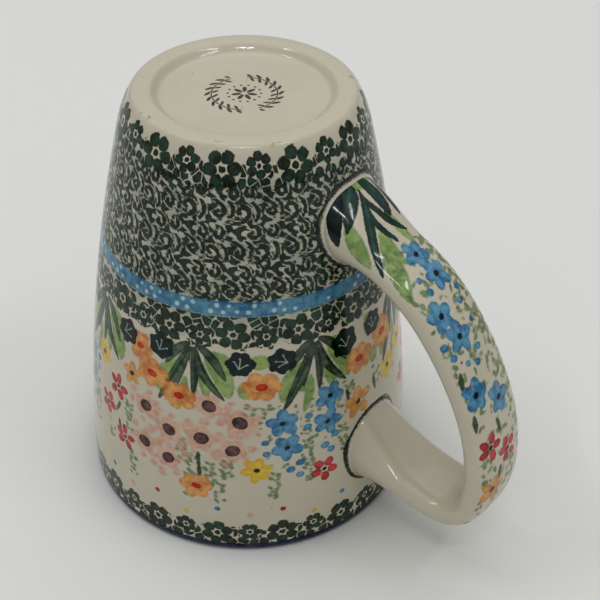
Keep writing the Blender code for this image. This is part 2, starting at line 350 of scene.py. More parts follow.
# the strokes of one fan of leaves: points in mm from its knot, and half width in mm
fanStrokes = {
    "wash": (
        (((-4.0, -6.0), (-7.6, -10.5), (-9.8, -16.0)), 2.2),
        (((-2.0, -10.0), (-2.6, -15.0), (-4.2, -20.5)), 1.3),
        (((1.6, -4.0), (3.0, -10.0), (3.8, -15.0)), 1.5),
        (((3.4, -3.0), (7.6, -8.5), (9.2, -14.0)), 2.5),
        (((4.0, -1.5), (8.5, -4.0), (10.0, -8.0)), 1.6),
    ),
    "leaf": (
        (((-0.6, 0.5), (-4.4, -2.6), (-7.4, -7.4)), 1.25),
        (((-0.8, -1.0), (-4.4, -9.0), (-9.6, -19.0)), 1.45),
        (((-0.5, -1.0), (-2.6, -7.0), (-4.2, -13.0)), 0.85),
        (((0.0, -1.0), (0.5, -8.0), (0.2, -15.0)), 1.1),
        (((0.6, -0.8), (2.6, -8.0), (8.2, -15.2)), 1.2),
        (((0.8, 0.2), (4.8, -3.2), (8.4, -9.2)), 1.3),
    ),
    "deepLeaf": (
        (((-1.4, -2.4), (-5.2, -10.2), (-9.4, -18.2)), 0.42),
        (((0.3, -3.0), (0.9, -8.5), (0.5, -13.5)), 0.42),
        (((1.2, -2.4), (3.6, -8.2), (8.0, -14.4)), 0.42),
    ),
}


def fan(sheet, u, v):
    # broad pale leaves, slender ones over them and a dark vein down three of those
    for paint, strokes in fanStrokes.items():
        for points, width in strokes:
            stroke(sheet, paint, u, v, points, width)


sprig = {"every": 1.25, "spread": 1.5, "long": 0.78, "short": 0.52, "chance": 0.82}


def sprigs(sheet, u, v, length):
    # a hanging spray of small dabs, left and right of a stalk
    for k in range(int(length / sprig["every"])):
        for sign in (-1.0, 1.0):
            if hand.random() < sprig["chance"]:
                x = sign * sprig["spread"] * (0.25 + 0.75 * hand.random())
                long, short = sprig["long"] * uneven(0.2), sprig["short"] * uneven(0.2)
                dab(sheet, "sprig", u, v - k * sprig["every"], long, short, sign * 35.0,
                    (x, 0.5 * (uneven(1.0) - 1.0)))


# one bay hangs under each fan of leaves; degrees from the fan, height and size in mm
bays = (
    {
        "teal": ((16.3, 63.0, 3.7), (32.4, 63.8, 3.9)),
        "orange": ((23.0, 61.0, 4.2, 1.0), (28.8, 54.6, 5.2, 0.8), (39.9, 50.8, 4.8, 0.9)),
        "amber": ((19.2, 51.0, 3.5),),
        "yellow": ((1.0, 49.5, 4.0),),
        "red": ((11.7, 43.5, 4.2), (5.2, 35.0, 4.1), (15.8, 28.2, 4.1)),
        "pink": ((26.3, 43.5, 3.7), (36.1, 39.0, 3.8), (25.8, 31.5, 3.8), (35.8, 29.5, 3.7)),
        "pinkDabs": ((30.5, 45.5), (31.0, 42.8), (30.2, 37.4), (28.6, 36.0), (30.7, 33.5), (31.0, 28.5),
                     (29.7, 25.6), (33.5, 23.2), (40.5, 34.5), (41.0, 41.5), (33.5, 35.0), (43.2, 37.0)),
        "blue": (),
        "blueDots": (),
        "sprigs": ((18.0, 41.5, 10.0), (20.0, 25.0, 11.0), (41.0, 37.0, 9.0), (44.0, 26.0, 9.0),
                   (8.0, 29.0, 7.0)),
        "stems": ((13.0, 39.0, -6.0), (12.5, 33.0, 2.0)),
        "wash": ((10.5, 56.8, 3.3, 1.8), (7.5, 65.0, 2.0, 1.8), (36.0, 65.0, 1.6, 2.0)),
    },
    {
        "teal": ((17.1, 62.6, 3.8), (31.9, 62.8, 3.8)),
        "orange": ((24.4, 55.8, 5.3, 0.72), (1.2, 22.6, 4.7, 0.85)),
        "amber": (),
        "yellow": ((22.2, 29.5, 4.4),),
        "red": (),
        "pink": ((3.2, 39.0, 4.1), (6.0, 49.5, 3.8), (16.7, 45.0, 4.1), (14.1, 36.0, 3.9)),
        "pinkDabs": ((10.0, 44.6), (9.5, 41.0), (12.0, 47.5), (21.0, 44.0), (-2.0, 43.5), (9.0, 33.5),
                     (20.5, 36.5), (-3.0, 33.0), (19.6, 41.0)),
        "blue": ((31.3, 44.0, 4.5), (32.8, 36.0, 4.4)),
        "blueDots": ((25.6, 34.7, 1.1), (25.2, 38.4, 1.1), (33.9, 28.5, 1.3), (37.4, 30.3, 1.3),
                     (37.2, 26.2, 1.2), (40.8, 44.7, 1.2), (40.3, 41.3, 1.2)),
        "sprigs": ((6.0, 31.0, 9.0), (9.5, 28.0, 12.0), (28.0, 28.0, 10.0), (40.5, 37.0, 16.0),
                   (20.5, 50.5, 4.0), (12.0, 32.5, 7.0), (26.0, 50.0, 5.0), (0.5, 33.0, 8.0)),
        "stems": ((2.0, 34.5, 0.5), (2.4, 30.0, 0.8)),
        "wash": ((24.0, 63.0, 2.5, 2.1), (19.0, 55.0, 2.2, 2.6)),
    },
    {
        "teal": ((11.9, 62.6, 4.3), (27.0, 63.0, 3.6)),
        "orange": ((18.3, 55.5, 4.9, 0.9), (32.8, 57.7, 5.2, 0.95)),
        "amber": ((16.7, 42.3, 4.9),),
        "yellow": ((35.2, 45.5, 4.3),),
        "red": ((1.3, 25.5, 4.3),),
        "pink": (),
        "pinkDabs": ((42.0, 50.0), (40.0, 43.0)),
        "blue": ((4.4, 48.8, 4.4), (3.0, 41.0, 4.2)),
        "blueDots": ((1.7, 33.5, 1.3), (4.0, 31.5, 1.2), (6.0, 36.0, 1.2), (-4.2, 44.8, 1.1)),
        "sprigs": ((9.5, 37.5, 9.0), (27.0, 49.5, 7.0), (13.0, 49.5, 4.0)),
        "stems": ((11.5, 48.5, 2.0), (25.5, 46.5, 1.2)),
        "wash": ((24.0, 63.5, 1.6, 3.2), (26.0, 53.5, 1.6, 2.4), (-6.0, 55.0, 2.2, 2.4)),
    },
)

garland = {
    "firstFan": -114.5,           # degrees round from the strap
    "fanEvery": 45.0,
    "order": (0, 1, 2, 0, 1, 2, 0, 1),
    "knot": 67.0,                 # height in mm
    "rimDots": (("red", 15.6), ("yellow", 12.8), ("blue", 15.0), ("pink", 13.8)),   # with their heights
    "rimDotsFrom": 31.0,          # degrees round from the first fan
    "rimDotEvery": 11.25,
}


def looseDab(sheet, paint, u, v, angle, reach, size, varied):
    # a small dab at an angle in degrees, at a reach in mm across and along
    angle = math.radians(angle)
    dab(sheet, paint, u, v, size[0] * uneven(varied), size[1] * uneven(varied), 180 * hand.random(),
        (reach[0] * math.cos(angle), reach[1] * math.sin(angle)))


def ringedPinkFlower(sheet, u, v, size):
    for k in range(6):
        angle = 60.0 * k + 25.0 * hand.random()
        reach = (4.6 + 1.2 * hand.random(), 4.2 + 1.2 * hand.random())
        looseDab(sheet, "pink", u, v, angle, reach, (1.1, 0.8), 0.25)
    pinkFlower(sheet, u, v, size)


def ringedBlueFlower(sheet, u, v, size):
    for k in range(16):
        angle = 22.5 * k + 15.0 * hand.random()
        reach = size * (1.05 + 0.5 * hand.random())
        looseDab(sheet, "sprig", u, v, angle, (reach, reach), (0.7, 0.45), 0.3)
    blueFlower(sheet, u, v, size)


def blueDot(sheet, u, v, size):
    dab(sheet, "blue", u, v, size, size * 0.85)


# in the order they are painted
garlandFlowers = (("pink", ringedPinkFlower), ("orange", orangeFlower), ("amber", amberFlower),
                  ("yellow", yellowFlower), ("red", redFlower), ("blue", ringedBlueFlower),
                  ("blueDots", blueDot), ("teal", tealFlower))


def paintGarland(sheet):
    for number, which in enumerate(garland["order"]):
        start = garland["firstFan"] + garland["fanEvery"] * number
        bay = bays[which]
        fan(sheet, start, garland["knot"])
        for a, h, long, short in bay["wash"]:
            dab(sheet, "wash", start + a, h, long, short)
        for a, h, length in bay["sprigs"]:
            sprigs(sheet, start + a, h, length)
        for a, h, lean in bay["stems"]:
            stem = ((0.0, 0.0), (0.1 * lean, -1.8), (0.35 * lean, -4.5))
            stroke(sheet, "deepLeaf", start + a, h, stem, 0.6)
        for a, h in bay["pinkDabs"]:
            dab(sheet, "pink", start + a, h, 1.15 * uneven(0.2), 0.85 * uneven(0.2), 50 * hand.random())
        for kind, makeFlower in garlandFlowers:
            for a, h, *size in bay[kind]:
                makeFlower(sheet, start + a, h, *size)
    for number in range(int(360 / garland["rimDotEvery"])):
        paint, height = garland["rimDots"][number % 4]
        height += 1.2 * (uneven(1.0) - 1.0)
        along = garland["firstFan"] + garland["rimDotsFrom"] + garland["rimDotEvery"] * number
        dab(sheet, paint, along, height, 0.85, 0.8)


# one stamped scroll: hooks, half width and points in mm from its left bottom corner, among wandering lines
scroll = {
    "wide": 11.7,
    "tall": 10.0,
    "around": (20, 18, 17),       # stamps in each row, from the band up to the foot
    "shift": (3.0, 9.0, 0.5),
    "bottom": 79.6,
    "top": 109.2,
    "grain": 0.1,                 # mm between the stamp's table values
    "waves": (2.1, 3.0),          # shortest and longest distance between wandering lines
    "margin": 0.44,               # left bare round a hook
    "hooks": (
        (0.46, ((0.9, 5.9), (2.3, 5.0), (3.1, 3.7), (2.8, 2.4), (1.8, 2.1), (1.3, 2.9), (1.9, 3.5))),
        (0.44, ((9.9, 9.3), (10.2, 8.0), (9.4, 6.9), (8.4, 7.2), (8.5, 8.2))),
        (0.44, ((4.0, 9.7), (5.5, 9.2), (6.2, 7.9), (5.5, 6.7), (4.3, 7.2), (4.6, 8.2))),
        (0.46, ((5.2, 0.3), (6.8, 0.6), (8.2, 1.9), (8.4, 3.4), (7.3, 4.4), (6.1, 3.6), (6.5, 2.7))),
        (0.38, ((3.7, 5.8), (4.7, 4.7), (4.9, 3.2), (4.4, 2.0))),
        (0.38, ((9.8, 0.7), (10.6, 2.2), (10.4, 4.0), (9.5, 5.2))),
    ),
}


def scrollTile():
    # the depth inside a hook, or clear of the hooks a sum of cosines whose waves all repeat with the stamp
    wide, tall = scroll["wide"], scroll["tall"]
    x, y = np.meshgrid(np.arange(0.0, wide, scroll["grain"]), np.arange(0.0, tall, scroll["grain"]))
    draw = np.random.default_rng(7)
    wander, count = np.zeros(x.shape), 0
    for i in range(-5, 6):
        for j in range(5):
            upward = j > 0 or i > 0
            length = 1.0 / max(math.hypot(i / wide, j / tall), 1e-6)
            if upward and scroll["waves"][0] < length < scroll["waves"][1]:
                wander += np.cos(2 * np.pi * (i * x / wide + j * y / tall + draw.random()))
                count += 1
    wander = 0.23 + 0.37 * wander / math.sqrt(count / 2)
    turnX, turnY = 2 * np.pi * x / wide, 2 * np.pi * y / tall
    x = x + 0.10 * np.sin(7 * turnY + 3 * turnX) + 0.07 * np.sin(9 * turnX - 5 * turnY)
    y = y + 0.10 * np.sin(8 * turnX - 2 * turnY) + 0.07 * np.sin(4 * turnX + 7 * turnY)
    hooks = np.full(x.shape, -9.0)
    for width, points in scroll["hooks"]:
        line = curved(points, 4 * len(points))
        widths = width * (0.8 + 0.2 * np.sin(np.pi * np.linspace(0.0, 1.0, len(line))))
        for dx in (-wide, 0.0, wide):
            for dy in (-tall, 0.0, tall):
                np.maximum(hooks, strokeDepth(x - dx, y - dy, line, widths, -9.0), out=hooks)
    return np.maximum(hooks + 0.09, np.minimum(wander, -hooks - scroll["margin"]))


def paintScrolls(sheet):
    # looks each wall point up in the stamp, between the table's four nearest values
    tile = scrollTile()
    angle = np.radians(sheet["u"])[None, :]
    height = sheet["v"][:, None]
    row = np.clip(np.floor((height - scroll["bottom"]) / scroll["tall"]), 0, len(scroll["around"]) - 1)
    row = row.astype(int)
    count = np.array(scroll["around"])[row]
    across = angle / (2 * np.pi) * count % 1.0 * scroll["wide"] + np.array(scroll["shift"])[row]
    across = across + 0.45 * np.sin(7 * angle + height * 0.35) + 0.10 * np.sin(31 * angle + height * 4.1)
    up = height - scroll["bottom"] + 0.25 * np.sin(11 * angle)
    up = up + 0.10 * np.sin(61 * angle + height * 2.0)
    i = (up % scroll["tall"]) / scroll["grain"]
    j = (across % scroll["wide"]) / scroll["grain"]
    i0, j0 = i.astype(int), j.astype(int)
    fi, fj = i - i0, j - j0
    tall, wide = tile.shape
    i0, i1, j0, j1 = i0 % tall, (i0 + 1) % tall, j0 % wide, (j0 + 1) % wide
    depth = ((tile[i0, j0] * (1 - fj) + tile[i0, j1] * fj) * (1 - fi)
             + (tile[i1, j0] * (1 - fj) + tile[i1, j1] * fj) * fi)
    low = height - scroll["bottom"] + 0.6
    high = scroll["top"] + 0.8 * np.sin(11 * angle) - height
    depth = np.minimum(depth, np.minimum(low, high))
    np.maximum(sheet["paints"]["scroll"], depth, out=sheet["paints"]["scroll"])


# the blue band round the waist, in mm, and its dots
band = {
    "low": 75.9,
    "high": 79.9,
    "dots": 80,
    "dot": 0.66,
    "lines": ((0.9, 0.0, 0.35), (-0.8, 0.5, 0.72)),   # rise, part of a step turned, and share that is there
}


outline = {
    "foot": (0.9, 0.5, 360.0),    # mm outside the corner, half width in mm and degrees of a turn
    "rim": (1.1, 0.42, 230.0),
    "middle": 150.0,              # degrees round to the middle of a part turn
    "taper": 30.0,                # degrees over which it thins out at both ends
    "inside": 9.0,                # mm, hidden under the strap
}


def paintOutline(sheet, corner, offset, width, span):
    # a brushed line on the wall, a set distance outside the corner curve, over part of a turn round it
    angle = np.degrees(np.arctan2(corner[:, 1], corner[:, 0] - axisX))
    height = corner[:, 2] / mm
    middle = (height.max() + height.min()) / 2
    rows, x, y = near(sheet, 0.0, middle, (height.max() - height.min()) / 2 + 5.0)
    scale = np.interp(height, sheet["v"][::-1], sheet["scale"][::-1])
    line = list(zip(angle * scale, height - middle))
    line.append(line[0])
    flat = np.abs(x[0]) < 20.0
    part = x[:, flat]
    away = -strokeDepth(part, np.broadcast_to(y, part.shape), line, np.zeros(len(line)), -12.0)
    inside = np.hypot(part / outline["inside"], y / outline["inside"]) < 1.0
    away = np.where(inside, -1.0, away)
    direction = np.degrees(np.arctan2(y + 0.0 * part, part)) - outline["middle"]
    direction = (direction + 180.0) % 360.0 - 180.0
    taper = np.clip((span / 2 - np.abs(direction)) / outline["taper"], 0.0, 1.0) ** 0.5
    sway = 0.25 * np.sin(np.radians(direction * 3.0)) + 0.15 * np.sin(np.radians(direction * 7.0))
    depth = width * (1.0 + 0.3 * np.sin(np.radians(direction * 5.0))) * taper - np.abs(away - offset - sway)
    depth = np.where(taper > 0.0, depth, noPaint)
    target = sheet["paints"]["outline"][rows]
    target[:, flat] = np.maximum(target[:, flat], depth)


def flowerFrames(sheet, places, swing=0.0):
    # for each point, its offset to the nearest of the places, over that flower's size and turned with it
    turned = swing * (2.0 * hand.random(len(places)) - 1.0)
    angle, height, size = (np.array(column)[:, None, None] for column in zip(*places))
    across = (sheet["u"][None, None, :] - angle + 180.0) % 360.0 - 180.0
    across = across * sheet["scale"][None, :, None] / size
    up = (sheet["v"][None, :, None] - height) / size
    reach = np.hypot(across, up)
    nearest = np.argmin(reach, axis=0)[None]
    up = np.broadcast_to(up, reach.shape)
    spin = np.radians(turned)[nearest[0]]
    across, up, reach = (np.take_along_axis(values, nearest, axis=0)[0] for values in (across, up, reach))
    return across * np.cos(spin) + up * np.sin(spin), up * np.cos(spin) - across * np.sin(spin), reach


# each row's flowers, and the heights that it fills; an open side has petals past it
spongeRows = (
    {"height": 112.4, "repeats": 11, "first": -43.5, "bloom": 4.3, "rosette": 3.0, "rise": 1.0,
     "low": 107.9, "high": 113.8, "openBelow": True, "openAbove": True},
    {"height": 70.9, "repeats": 15, "first": -67.0, "bloom": 4.1, "rosette": 2.9, "rise": -0.6,
     "low": 67.4, "high": 75.8, "openBelow": True, "openAbove": False},
    {"height": 6.6, "repeats": 16, "first": -50.0, "bloom": 4.3, "rosette": 3.0, "rise": 0.9,
     "low": -1.0, "high": 8.6, "openBelow": False, "openAbove": True},
)


def spongeFlowers():
    # a bloom and a rosette by turns round each row
    places = []
    for row in spongeRows:
        every = 360.0 / row["repeats"]
        for number in range(row["repeats"]):
            start = row["first"] + every * number
            places.append((start + every / 2, row["height"], row["bloom"]))
            places.append((start, row["height"] + row["rise"], row["rosette"]))
    return places


# the strap's own painting: across in mm from its middle, along in mm from the foot end
strapPainting = {
    "wash": (
        (((-6.5, 1.6), (-1.0, 1.2), (5.5, 1.6)), 2.4),
        (((8.4, 5.6), (9.4, 9.2), (10.6, 13.8)), 1.8),
        (((3.6, 11.0), (5.6, 16.6), (7.4, 21.0), (9.2, 25.5)), 2.3),
        (((1.9, 9.0), (2.6, 14.0), (3.0, 19.0)), 1.3),
        (((-3.0, 8.0), (-3.6, 12.0), (-4.4, 16.5)), 1.3),
    ),
    "leaf": (
        (((1.4, 3.0), (4.4, 3.8), (8.8, 6.0)), 1.5),
        (((-0.4, 3.4), (3.0, 6.9), (6.3, 11.2), (10.0, 17.6)), 1.2),
        (((0.6, 4.2), (2.3, 7.6), (1.2, 11.0), (-0.9, 14.8)), 0.9),
        (((0.0, 4.4), (-1.6, 8.6), (-5.2, 12.8)), 1.0),
        (((-2.8, 2.2), (-4.2, 4.8), (-3.7, 8.6)), 1.9),
        (((-6.9, 1.4), (-7.6, 5.2), (-7.0, 9.4)), 1.1),
    ),
    "blot": (((5.0, 1.3), (8.4, 2.7), (10.8, 4.3)), 1.7),
    "veins": (
        ((-0.4, 3.4), (3.2, 7.1), (6.4, 11.4), (9.6, 17.0)),
        ((1.6, 2.6), (4.6, 3.6), (7.8, 5.2)),
        ((-4.2, 1.6), (-4.7, 4.0), (-4.1, 6.8)),
    ),
    "blue": ((-1.3, 18.6, 3.9), (-2.0, 24.6, 3.9), (4.7, 32.6, 4.0), (2.9, 38.8, 4.0)),
    "violet": ((5.8, 52.8, 4.2), (-1.4, 57.1, 4.0)),
    "blueDots": ((3.8, 23.6, 0.9), (3.4, 27.0, 1.1), (-5.0, 29.6, 0.9), (-3.2, 32.4, 1.1),
                 (8.4, 38.9, 1.1), (7.4, 42.2, 1.1), (-1.1, 43.4, 1.1), (1.1, 46.4, 1.1),
                 (-3.4, 37.5, 0.8), (4.2, 45.2, 0.9)),
    "red": ((5.5, 67.2, 4.1), (-1.3, 71.3, 4.0)),
    "amber": ((5.0, 80.0, 4.2), (-2.6, 88.0, 3.6)),
    "stems": ((7.6, 46.0, 0.6), (8.2, 57.0, 0.3), (1.6, 61.0, -0.4), (2.0, 74.0, 0.4)),
    "speckles": (400, 15.0, 76.0),        # how many, where they start and how far they go on
    "redDots": (14, 28.0, 60.0),
}


def paintStrap(sheet):
    for points, width in strapPainting["wash"]:
        stroke(sheet, "wash", 0.0, 0.0, points, width)
    for points, width in strapPainting["leaf"]:
        stroke(sheet, "spear", 0.0, 0.0, points, width)
    stroke(sheet, "teal", 0.0, 0.0, *strapPainting["blot"], 0.6)
    for points in strapPainting["veins"]:
        stroke(sheet, "veil", 0.0, 0.0, points, 0.3)
    count, start, run = strapPainting["speckles"]
    for number in range(count):      # sponge speckle between and beside the flowers
        along = start + run * hand.random()
        across = 9.0 * hand.random() ** 0.75 * (1.0 if hand.random() < 0.42 else -1.0)
        dab(sheet, "sprig", across, along, 0.85 * uneven(0.45), 0.5 * uneven(0.4), 180 * hand.random())
    for a, along, lean in strapPainting["stems"]:
        stroke(sheet, "deepLeaf", a, along, ((0.0, 0.0), (lean, 2.0), (2 * lean, 4.5)), 0.7)
    count, start, run = strapPainting["redDots"]
    for number in range(count):
        dab(sheet, "red", 8.0 * (uneven(1.0) - 1.0), start + run * hand.random(), 0.45, 0.4)
    for kind, makeFlower in (("blue", blueFlower), ("violet", blueFlower), ("blueDots", blueDot),
                             ("red", redFlower), ("amber", amberFlower)):
        for a, along, size in strapPainting[kind]:
            makeFlower(sheet, a, along, size)


def keepValues(piece, name, values, before=0, after=0, bare=noPaint):
    # one value for each point as an attribute, with points before and after them that stay bare
    values = np.concatenate([np.full(before, bare), values.ravel(), np.full(after, bare)])
    attribute = piece.data.attributes.new(name, "FLOAT", "POINT")
    attribute.data.foreach_set("value", values.astype(np.float32))


def keepPaints(piece, sheet, before, after):
    for name, depth in sheet["paints"].items():
        keepValues(piece, name, depth, before, after)


slipBead = {
    "size": 1.15 * mm,            # reach on the wall and on the strap
    "lift": 0.1 * mm,
    "sunk": 0.9 * mm,
    "searched": 60,               # sections from the strap's end in which it leaves the wall
}


def slipCorner(rows):
    # where the strap's surface passes through the wall, for each line that runs along the strap
    curve = strapPlaces[rows]
    radius = np.hypot(curve[..., 0] - axisX, curve[..., 1])
    gap = radius - wallRadius(curve[..., 2])
    crossing = np.clip(np.argmax(gap > 0.0, axis=0), 1, len(rows) - 1)
    column = np.arange(curve.shape[1])
    before, after = gap[crossing - 1, column], gap[crossing, column]
    share = np.clip(before / (before - after + 1e-12), 0.0, 1.0)[:, None]
    corner = curve[crossing - 1, column] * (1 - share) + curve[crossing, column] * share
    ahead = curve[np.minimum(crossing + 3, len(rows) - 1), column] - corner
    return corner, ahead / np.linalg.norm(ahead, axis=1)[:, None]


def slipFillet(name, corner, onStrap):
    # a concave bead from the wall to the strap: two parabola arms, closed underneath
    around = np.roll(corner, -1, axis=0) - np.roll(corner, 1, axis=0)
    around /= np.linalg.norm(around, axis=1)[:, None]
    lean = (wallRadius(corner[:, 2] + mm) - wallRadius(corner[:, 2] - mm)) / (2 * mm)
    angle = np.arctan2(corner[:, 1], corner[:, 0] - axisX)
    normal = np.column_stack([np.cos(angle), np.sin(angle), -lean])
    normal /= np.linalg.norm(normal, axis=1)[:, None]
    onWall = np.cross(around, normal)
    onWall *= np.sign(((corner - corner.mean(axis=0)) * onWall).sum(axis=1))[:, None]
    size, lift, sunk = slipBead["size"], slipBead["lift"], slipBead["sunk"]
    share = np.linspace(0.0, 1.0, 9)
    rings = [corner + size * ((1 - t) ** 2 * onWall + t ** 2 * onStrap) + lift * normal * (1 - t)
             for t in share]
    rings += [corner + onStrap * size * 0.6 - onWall * sunk, corner - normal * sunk,
              corner + onWall * size * 0.7 - normal * sunk]
    places = np.stack(rings, axis=1)
    points, sections = places.shape[:2]
    index = np.arange(points * sections).reshape(points, sections)
    ahead = np.roll(index, -1, axis=0)
    quads = np.stack([index, np.roll(index, -1, axis=1), np.roll(ahead, -1, axis=1), ahead], axis=-1)
    quads = quads.reshape(-1, 4)
    if np.cross(places[0, 4] - places[0, 3], places[1, 4] - places[0, 4]) @ (onWall[0] + onStrap[0]) < 0.0:
        quads = quads[:, ::-1]
    piece = newPiece(name, places.reshape(-1, 3), quads.tolist())
    across = np.zeros((points, sections))
    across[:, :len(share)] = 1.0 - share
    keepValues(piece, "towardsWall", across)
    return piece


strapPlaces, strapRun = strapGrid()
endRows = np.arange(slipBead["searched"])
footCorner, footAhead = slipCorner(endRows)
rimCorner, rimAhead = slipCorner(len(strapPlaces) - 1 - endRows)
footSlip = slipFillet("footEndSlip", footCorner, footAhead)
rimSlip = slipFillet("rimEndSlip", rimCorner, rimAhead)
print("slip joints:", len(footSlip.data.polygons) + len(rimSlip.data.polygons), "faces")

meanRadius = 40.0   # mm, for lengths round the wall
footPart, outerPart, insidePart = cupProfile()
fine, coarse = cup["columns"], cup["columns"] // 3
profile = np.vstack([footPart, outerPart, insidePart])
rowColumns = np.array([coarse] * len(footPart) + [fine] * len(outerPart) + [coarse] * len(insidePart))
rowStart = np.concatenate([[0], np.cumsum(rowColumns)])
firstOuter, lastOuter = len(footPart), len(footPart) + len(outerPart) - 1


def cupPoints():
    points = []
    for (radius, height), columns in zip(profile, rowColumns):
        turn = np.arange(columns) * 2.0 * np.pi / columns
        level = np.full(columns, height)
        points.append(np.column_stack([axisX + radius * np.cos(turn), radius * np.sin(turn), level]))
    poles = [[axisX, 0.0, profile[0, 1]], [axisX, 0.0, profile[-1, 1]]]
    return np.vstack(points + [poles])


def cupFaces():
    # corners as (row, column); three fine columns meet one coarse column in a six-cornered face
    faces = []
    for first, last, columns in ((0, firstOuter - 1, coarse), (firstOuter, lastOuter, fine),
                                 (lastOuter + 1, len(profile) - 1, coarse)):
        r, j = np.meshgrid(np.arange(first, last), np.arange(columns), indexing="ij")
        cornerRows, cornerColumns = np.stack([r, r + 1, r + 1, r], -1), np.stack([j, j, j + 1, j + 1], -1)
        faces.append(np.stack([cornerRows, cornerColumns], -1))
    k = np.arange(coarse)
    for coarseRow, fineRow in ((firstOuter - 1, firstOuter), (lastOuter + 1, lastOuter)):
        rows = [coarseRow] + [fineRow] * 4 + [coarseRow]
        columns = np.stack([k, 3 * k, 3 * k + 1, 3 * k + 2, 3 * k + 3, k + 1], -1)
        joined = np.stack([np.broadcast_to(rows, columns.shape), columns], -1)
        faces.append(joined if coarseRow < fineRow else joined[:, ::-1])
    faces = [part.reshape(-1, part.shape[-2], 2) for part in faces]
    indexes, places = [], []
    for part in faces:
        row, column = part[..., 0], part[..., 1]
        indexes.append((rowStart[row] + column % rowColumns[row]).tolist())
        places.append(np.stack([column / rowColumns[row], row], -1).reshape(-1, 2))
    for row, pole, order in ((0, rowStart[-1], [0, 1]), (len(profile) - 1, rowStart[-1] + 1, [1, 0])):
        ends = np.stack([k, k + 1], -1)[:, order]
        indexes.append(np.column_stack([rowStart[row] + ends % coarse, np.full(coarse, pole)]).tolist())
        share = np.column_stack([ends / coarse, (k + 0.5) / coarse])
        places.append(np.stack([share, np.full(share.shape, row)], -1).reshape(-1, 2))
    return sum(indexes, []), np.vstack(places)


cupIndexes, cupCorners = cupFaces()
cupPiece = newPiece("mugCup", cupPoints(), cupIndexes)
cornerRow = cupCorners[:, 1].astype(int)
run = runAlong(profile)
# the bake's map gives the painted wall two thirds of its height, and the foot and the inside the rest
strip = np.interp(run, run[[0, firstOuter, lastOuter, -1]], (0.01, 0.17, 0.86, 0.99))
wallTurns = cupCorners[:, 0] * 2 * np.pi * meanRadius


def keepMap(piece, name, u, v):
    layer = piece.data.uv_layers.new(name=name)
    layer.uv.foreach_set("vector", np.column_stack([u, v]).astype(np.float32).ravel())


keepMap(cupPiece, "OFBake", cupCorners[:, 0], strip[cornerRow])
keepMap(cupPiece, "wallMm", wallTurns, profile[cornerRow, 1] / mm)   # mm round the mean radius, and height

fineTurns = np.arange(fine) * 360.0 / fine
wallSheet = newSheet(fineTurns, outerPart[:, 1] / mm, outerPart[:, 0] / mm * np.pi / 180.0, 360.0)
paintGarland(wallSheet)
paintScrolls(wallSheet)
paintOutline(wallSheet, footCorner, *outline["foot"])
paintOutline(wallSheet, rimCorner, *outline["rim"])
footBare = int(rowStart[firstOuter])   # points before the painted wall, and after it with both poles
insideBare = int(rowStart[-1] + 2 - rowStart[lastOuter + 1])
keepPaints(cupPiece, wallSheet, footBare, insideBare)
noFlower = 9.0   # flower sizes, well away from any of them


def keepFrames(piece, name, frames):
    # offsets to the nearest flower's middle, and the distance from it, all in that flower's own size
    for part, values in zip(("Across", "Up", "Reach"), frames):
        keepValues(piece, name + part, values, footBare, insideBare, noFlower)


keepFrames(cupPiece, "sponge", flowerFrames(wallSheet, spongeFlowers(), 30.0))
keepFrames(cupPiece, "stamen", flowerFrames(wallSheet, tealPlaces, 75.0))
print("cup:", len(cupPiece.data.polygons), "faces")

strapPiece = gridPiece("mugStrap", strapPlaces)
# across the strap's outer face in mm, 0 in its middle; the run along it starts at the foot end
section = strapPlaces[strap["stations"] // 2]
perimeter = runAlong(section) / mm
whole = perimeter[-1] + np.linalg.norm(section[0] - section[-1]) / mm
outward = (perimeter - perimeter[strap["around"] // 4] + whole / 2) % whole - whole / 2
strapSheet = newSheet(outward, strapRun / mm, np.ones(len(strapRun)), 0.0)
paintStrap(strapSheet)
keepPaints(strapPiece, strapSheet, 0, 2)
print("strap:", len(strapPiece.data.polygons), "faces")


def paint(*colour):
    # a colour as seen, red, green and blue from 0 to 255, made linear
    return tuple(((c / 255 + 0.055) / 1.055) ** 2.4 if c > 10 else c / 3294.6 for c in colour) + (1.0,)


